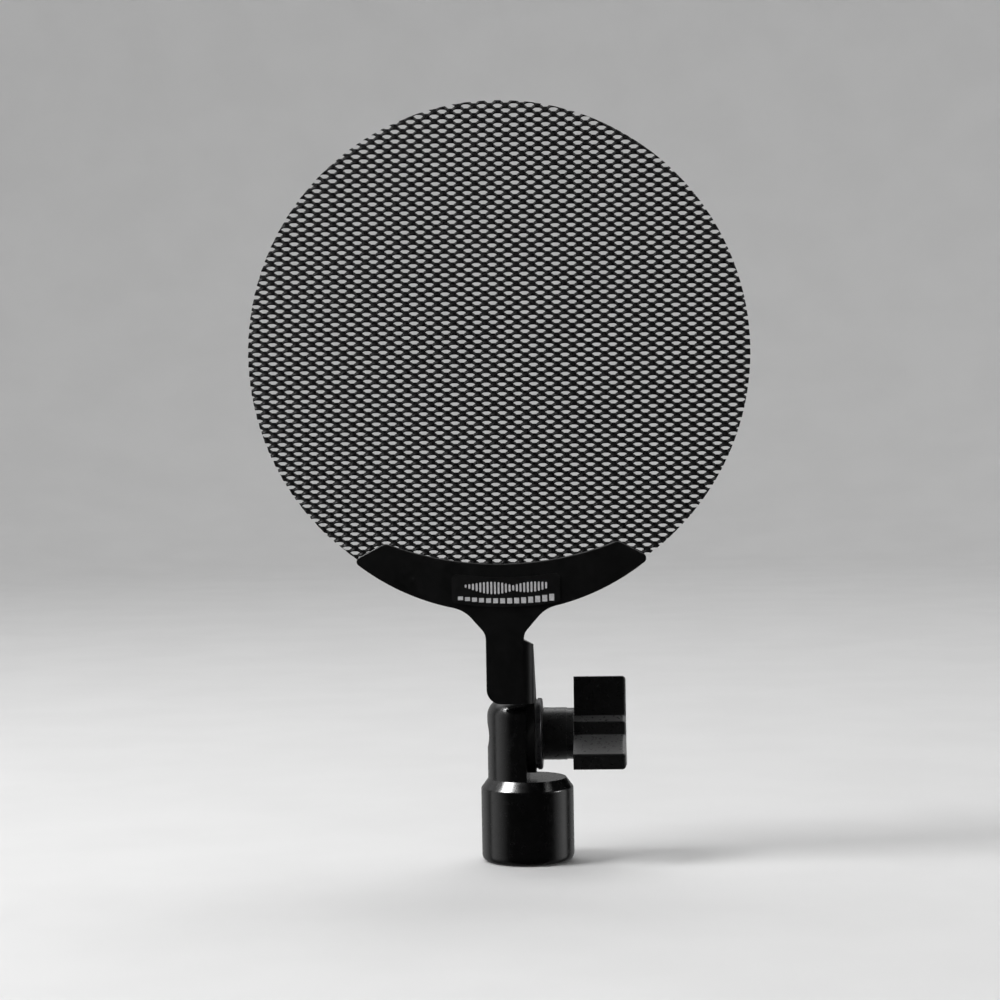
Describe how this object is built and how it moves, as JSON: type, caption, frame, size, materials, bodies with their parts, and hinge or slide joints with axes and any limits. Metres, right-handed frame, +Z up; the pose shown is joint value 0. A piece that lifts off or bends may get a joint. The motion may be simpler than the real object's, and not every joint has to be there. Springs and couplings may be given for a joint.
{
  "type": "pop filter",
  "caption": "Round metal mesh pop filter on a folded crescent bracket that tilts on a stand adaptor and is clamped by a three-wing knob.",
  "frame": {"origin": "centre of the stand socket's mouth", "axes": "+Z up along the stand socket, -Y towards the voice in front of the screen, +X towards the clamping knob"},
  "size_m": [0.122, 0.0259, 0.1862],
  "materials": {
    "adaptor_metal": "gloss",
    "bracket_metal": "matte",
    "strip_metal": "matte",
    "screen_metal": "satin",
    "label_film": "satin",
    "washer_nylon": "satin",
    "washer_steel": "satin",
    "knob_plastic": "satin",
    "stud_steel": "satin"
  },
  "bodies": {
    "base": {"stand_adaptor": "adaptor_metal"},
    "head": {"bracket_plate": "bracket_metal", "backing_strip": "strip_metal", "mesh_screen": "screen_metal", "front_label": "label_film"},
    "washers": {"friction_washer": "washer_nylon", "clamp_washer": "washer_steel"},
    "knob": {"clamp_knob": "knob_plastic", "clamp_stud": "stud_steel"}
  },
  "joints": [
    {"name": "screen_tilt", "type": "hinge", "parent": "base", "child": "head", "pos_m": [0, 0, 0.03125], "axis": [1, 0, 0], "range_deg": [-90, 75]},
    {"name": "clamp_release", "type": "slide", "parent": "base", "child": "washers", "axis": [1, 0, 0], "range_m": [0, 0.00255]},
    {"name": "knob_turn", "type": "hinge", "parent": "washers", "child": "knob", "pos_m": [0.012, 0, 0.03125], "axis": [1, 0, 0], "range_deg": [0, 720]}
  ],
  "couplings": [
    {"joint": "clamp_release", "follows": "knob_turn", "m_per_rad": 0.00020213}
  ]
}
